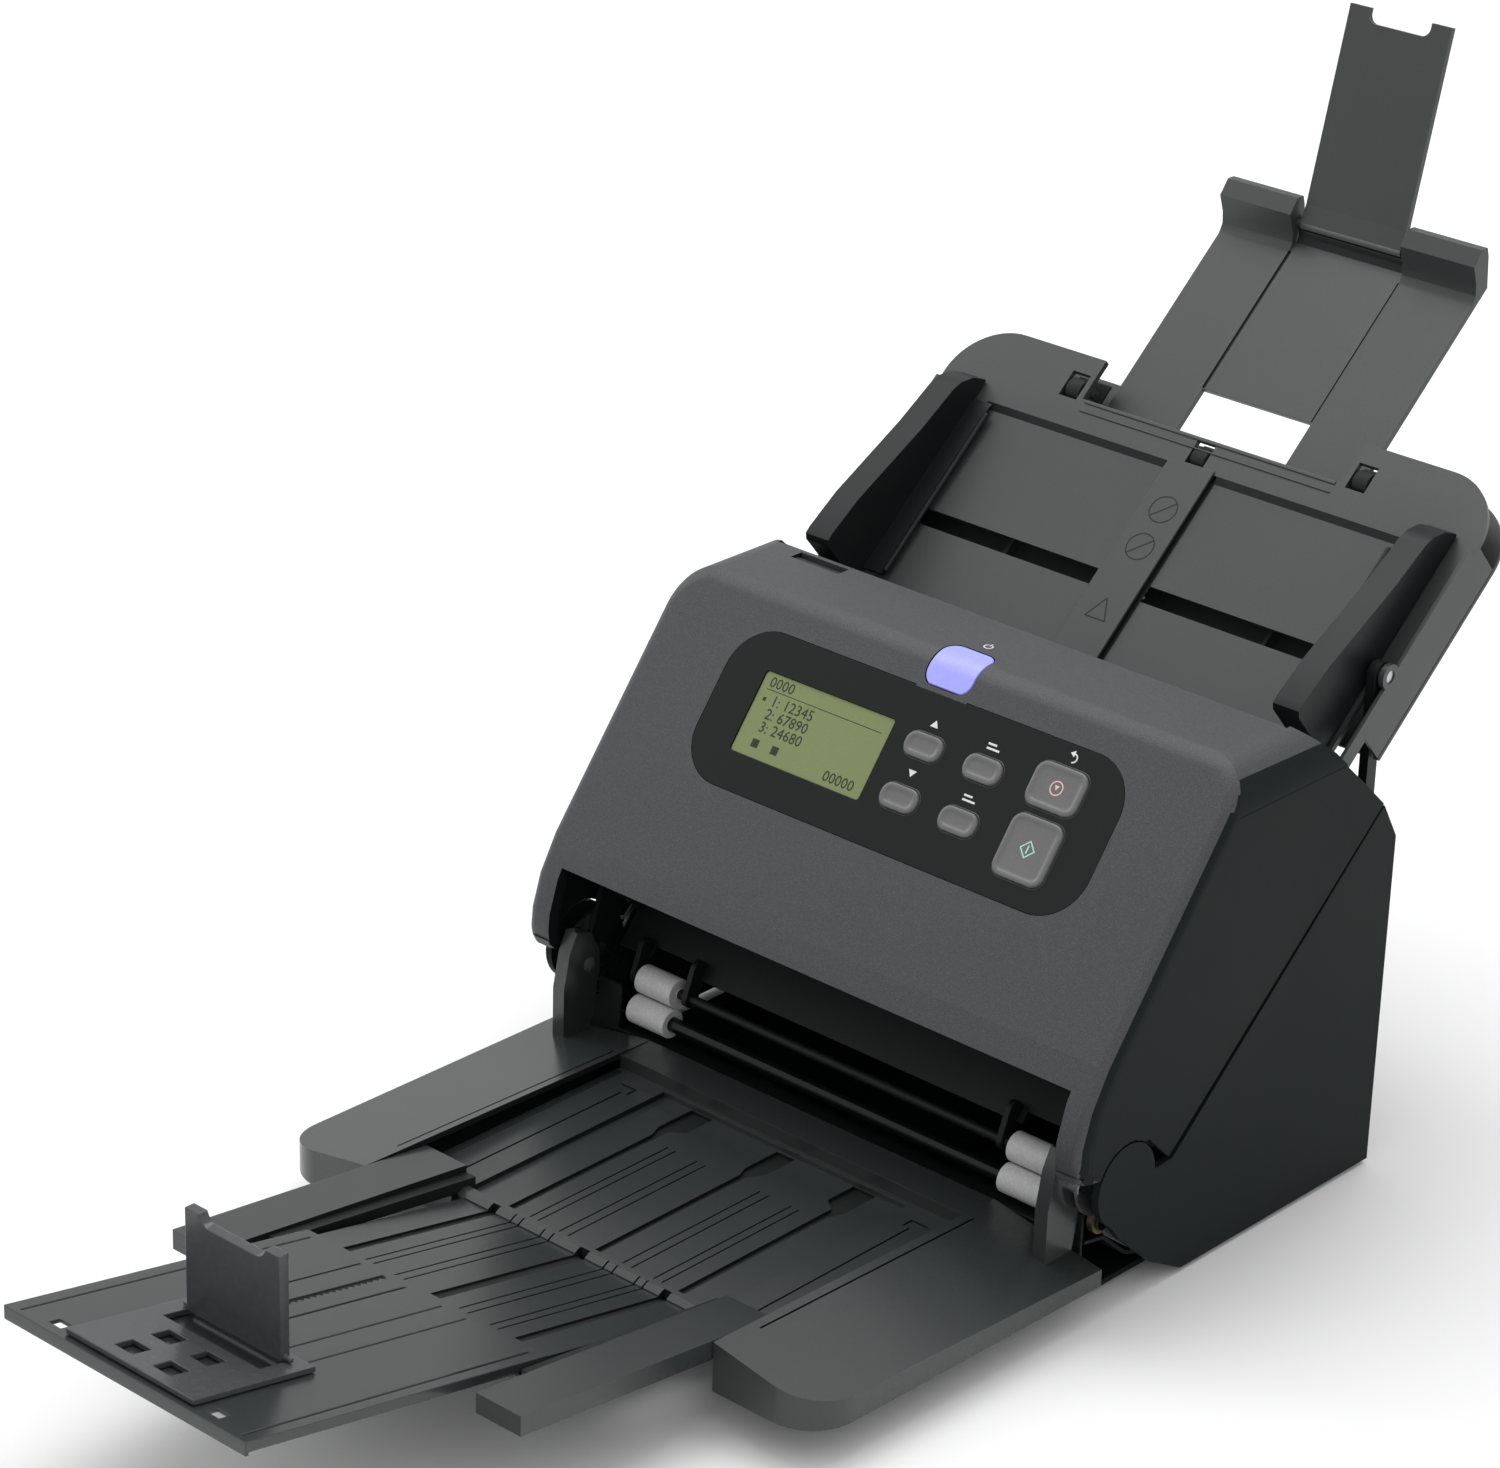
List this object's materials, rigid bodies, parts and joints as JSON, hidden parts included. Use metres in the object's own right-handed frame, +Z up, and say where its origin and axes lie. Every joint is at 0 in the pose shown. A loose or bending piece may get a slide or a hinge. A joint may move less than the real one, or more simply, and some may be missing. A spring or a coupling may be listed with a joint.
{
  "type": "sheet fed document scanner",
  "caption": "Desktop document scanner with a sloping control panel, a folding feed tray with sheet guides on top and a folding eject tray with sliding extensions in front.",
  "frame": {"origin": "on the surface it stands on, below the middle of the whole with both trays open", "axes": "+X to the right seen from the front, -Y towards the front where sheets come out, +Z up"},
  "size_m": [0.28, 0.6782, 0.3988],
  "materials": {
    "housing_dark": "fine matte texture",
    "front_grey": "fine speckled matte texture",
    "tray_grey": "satin moulded texture",
    "panel_black": "glossy",
    "key_grey": "satin",
    "lcd": "glossy",
    "power_violet": "translucent, lit",
    "steel": "plain",
    "bronze": "plain",
    "rubber": "matte",
    "white_roll": "satin",
    "gear_white": "satin",
    "glass": "clear",
    "board": "solder mask",
    "stop_smoke": "smoked translucent"
  },
  "bodies": {
    "housing": {"base_plate": "housing_dark", "rear_cover": "housing_dark", "side_covers": "housing_dark", "rubber_feet": "rubber", "case_screws": "steel", "chassis_plates": "steel", "tray_arms": "housing_dark", "hinge_pins": "steel", "bushings": "bronze", "lower_chute": "housing_dark", "lower_sensor": "housing_dark", "lower_glass": "glass", "main_board": "board", "power_socket": "rubber", "usb_socket": "steel", "feed_motor": "steel", "timing_belt": "rubber"},
    "motor_pinion": {"motor_pinion": "bronze"},
    "reduction_gear": {"reduction_gear": "gear_white"},
    "idler_gear": {"idler_gear": "gear_white"},
    "feed_roller": {"feed_shaft": "steel", "feed_tyres": "rubber"},
    "drive_roller": {"drive_shaft": "steel", "drive_tyres": "rubber"},
    "eject_roller": {"eject_shaft": "steel", "eject_rollers": "white_roll"},
    "front_unit": {"front_cover": "front_grey", "side_panels": "housing_dark", "unit_frame": "housing_dark", "upper_chute": "housing_dark", "upper_sensor": "housing_dark", "panel_bezel": "panel_black", "panel_board": "board", "lcd_screen": "lcd"},
    "separation_roller": {"separation_roller": "rubber"},
    "pinch_rollers": {"pinch_rollers": "white_roll"},
    "eject_pinch_rollers": {"eject_pinch_rollers": "white_roll"},
    "feed_tray": {"feed_tray": "tray_grey", "tray_back": "tray_grey"},
    "eject_tray": {"eject_tray": "tray_grey"},
    "button_up": {"button_up": "key_grey"},
    "button_down": {"button_down": "key_grey"},
    "button_menu": {"button_menu": "key_grey"},
    "button_ok": {"button_ok": "key_grey"},
    "button_stop": {"button_stop": "key_grey"},
    "button_start": {"button_start": "key_grey"},
    "power_button": {"power_button": "power_violet"},
    "open_lever": {"open_lever": "housing_dark"},
    "guide_left": {"guide_left": "tray_grey"},
    "guide_right": {"guide_right": "tray_grey"},
    "guide_pinion": {"guide_pinion": "gear_white"},
    "tray_roller_left": {"tray_roller_left": "rubber"},
    "tray_roller_middle": {"tray_roller_middle": "rubber"},
    "tray_roller_right": {"tray_roller_right": "rubber"},
    "feed_extension": {"feed_extension": "tray_grey"},
    "extension_flap": {"extension_flap": "tray_grey"},
    "eject_extension_1": {"eject_extension_1": "tray_grey"},
    "eject_extension_2": {"eject_extension_2": "tray_grey"},
    "stop_base": {"stop_base": "stop_smoke"},
    "stop_flap": {"stop_flap": "stop_smoke"}
  },
  "joints": [
    {"name": "front_unit_open", "type": "hinge", "parent": "housing", "child": "front_unit", "pos_m": [0, 0.018, 0.052], "axis": [-1, 0, 0], "range_deg": [-55, 0]},
    {"name": "feed_tray_fold", "type": "hinge", "parent": "housing", "child": "feed_tray", "pos_m": [0, 0.172, 0.204], "axis": [1, 0, 0], "range_deg": [0, 130]},
    {"name": "eject_tray_fold", "type": "hinge", "parent": "housing", "child": "eject_tray", "pos_m": [0, 0.005, 0.052], "axis": [-1, 0, 0], "range_deg": [0, 88]},
    {"name": "drive_roller_spin", "type": "hinge", "parent": "housing", "child": "drive_roller", "pos_m": [0, 0.0767, 0.09282], "axis": [1, 0, 0], "continuous": true},
    {"name": "feed_roller_spin", "type": "hinge", "parent": "housing", "child": "feed_roller", "pos_m": [0, 0.10143, 0.11634], "axis": [1, 0, 0], "continuous": true},
    {"name": "eject_roller_spin", "type": "hinge", "parent": "housing", "child": "eject_roller", "pos_m": [0, 0.017, 0.0338], "axis": [1, 0, 0], "continuous": true},
    {"name": "idler_gear_spin", "type": "hinge", "parent": "housing", "child": "idler_gear", "pos_m": [-0.1319, 0.09562, 0.0993], "axis": [1, 0, 0], "continuous": true},
    {"name": "reduction_gear_spin", "type": "hinge", "parent": "housing", "child": "reduction_gear", "pos_m": [-0.1319, 0.09078, 0.06633], "axis": [1, 0, 0], "continuous": true},
    {"name": "motor_pinion_spin", "type": "hinge", "parent": "housing", "child": "motor_pinion", "pos_m": [-0.1319, 0.11333, 0.05812], "axis": [1, 0, 0], "continuous": true},
    {"name": "separation_roller_spin", "type": "hinge", "parent": "front_unit", "child": "separation_roller", "pos_m": [0, 0.08545, 0.13042], "axis": [1, 0, 0], "continuous": true},
    {"name": "pinch_rollers_spin", "type": "hinge", "parent": "front_unit", "child": "pinch_rollers", "pos_m": [0, 0.06597, 0.10228], "axis": [1, 0, 0], "continuous": true},
    {"name": "eject_pinch_rollers_spin", "type": "hinge", "parent": "front_unit", "child": "eject_pinch_rollers", "pos_m": [0, 0.021, 0.0456], "axis": [1, 0, 0], "continuous": true},
    {"name": "button_up_press", "type": "slide", "parent": "front_unit", "child": "button_up", "axis": [0, 0.7923, -0.6101], "range_m": [0, 0.0008], "stiffness_N_per_m": 600},
    {"name": "button_down_press", "type": "slide", "parent": "front_unit", "child": "button_down", "axis": [0, 0.7923, -0.6101], "range_m": [0, 0.0008], "stiffness_N_per_m": 600},
    {"name": "button_menu_press", "type": "slide", "parent": "front_unit", "child": "button_menu", "axis": [0, 0.7923, -0.6101], "range_m": [0, 0.0008], "stiffness_N_per_m": 600},
    {"name": "button_ok_press", "type": "slide", "parent": "front_unit", "child": "button_ok", "axis": [0, 0.7923, -0.6101], "range_m": [0, 0.0008], "stiffness_N_per_m": 600},
    {"name": "button_stop_press", "type": "slide", "parent": "front_unit", "child": "button_stop", "axis": [0, 0.7923, -0.6101], "range_m": [0, 0.0008], "stiffness_N_per_m": 600},
    {"name": "button_start_press", "type": "slide", "parent": "front_unit", "child": "button_start", "axis": [0, 0.7923, -0.6101], "range_m": [0, 0.0008], "stiffness_N_per_m": 600},
    {"name": "power_button_press", "type": "slide", "parent": "front_unit", "child": "power_button", "axis": [0, 0.7923, -0.6101], "range_m": [0, 0.0006], "stiffness_N_per_m": 600},
    {"name": "open_lever_pull", "type": "slide", "parent": "front_unit", "child": "open_lever", "axis": [0, 1, 0], "range_m": [0, 0.0024], "stiffness_N_per_m": 400},
    {"name": "guide_right_slide", "type": "slide", "parent": "feed_tray", "child": "guide_right", "axis": [-1, 0, 0], "range_m": [0, 0.08]},
    {"name": "guide_left_slide", "type": "slide", "parent": "feed_tray", "child": "guide_left", "axis": [1, 0, 0], "range_m": [0, 0.08]},
    {"name": "guide_pinion_spin", "type": "hinge", "parent": "feed_tray", "child": "guide_pinion", "pos_m": [0, 0.17812, 0.19806], "axis": [0, -0.6534, 0.757], "range_deg": [-20, 480]},
    {"name": "tray_roller_left_spin", "type": "hinge", "parent": "feed_tray", "child": "tray_roller_left", "pos_m": [-0.071, 0.23485, 0.24689], "axis": [1, 0, 0], "continuous": true},
    {"name": "tray_roller_middle_spin", "type": "hinge", "parent": "feed_tray", "child": "tray_roller_middle", "pos_m": [0, 0.22576, 0.23905], "axis": [1, 0, 0], "continuous": true},
    {"name": "tray_roller_right_spin", "type": "hinge", "parent": "feed_tray", "child": "tray_roller_right", "pos_m": [0.071, 0.23485, 0.24689], "axis": [1, 0, 0], "continuous": true},
    {"name": "feed_extension_slide", "type": "slide", "parent": "feed_tray", "child": "feed_extension", "axis": [0, -0.757, -0.6534], "range_m": [0, 0.072]},
    {"name": "extension_flap_fold", "type": "hinge", "parent": "feed_extension", "child": "extension_flap", "pos_m": [0, 0.316, 0.31112], "axis": [1, 0, 0], "range_deg": [0, 126]},
    {"name": "eject_extension_1_slide", "type": "slide", "parent": "eject_tray", "child": "eject_extension_1", "axis": [0, 1, 0], "range_m": [0, 0.09]},
    {"name": "eject_extension_2_slide", "type": "slide", "parent": "eject_extension_1", "child": "eject_extension_2", "axis": [0, 0.9809, -0.1947], "range_m": [0, 0.072]},
    {"name": "stop_base_slide", "type": "slide", "parent": "eject_extension_2", "child": "stop_base", "axis": [0, 0.9809, -0.1947], "range_m": [0, 0.04]},
    {"name": "stop_flap_fold", "type": "hinge", "parent": "stop_base", "child": "stop_flap", "pos_m": [0, -0.288, 0.0616], "axis": [1, 0, 0], "range_deg": [0, 72]}
  ],
  "couplings": [
    {"joint": "feed_roller_spin", "follows": "drive_roller_spin", "ratio": 1.2},
    {"joint": "eject_roller_spin", "follows": "drive_roller_spin", "ratio": 1},
    {"joint": "idler_gear_spin", "follows": "drive_roller_spin", "ratio": -1.5},
    {"joint": "reduction_gear_spin", "follows": "drive_roller_spin", "ratio": -0.66667},
    {"joint": "motor_pinion_spin", "follows": "drive_roller_spin", "ratio": 2},
    {"joint": "guide_left_slide", "follows": "guide_right_slide", "ratio": 1},
    {"joint": "guide_pinion_spin", "follows": "guide_right_slide", "rad_per_m": 100}
  ]
}
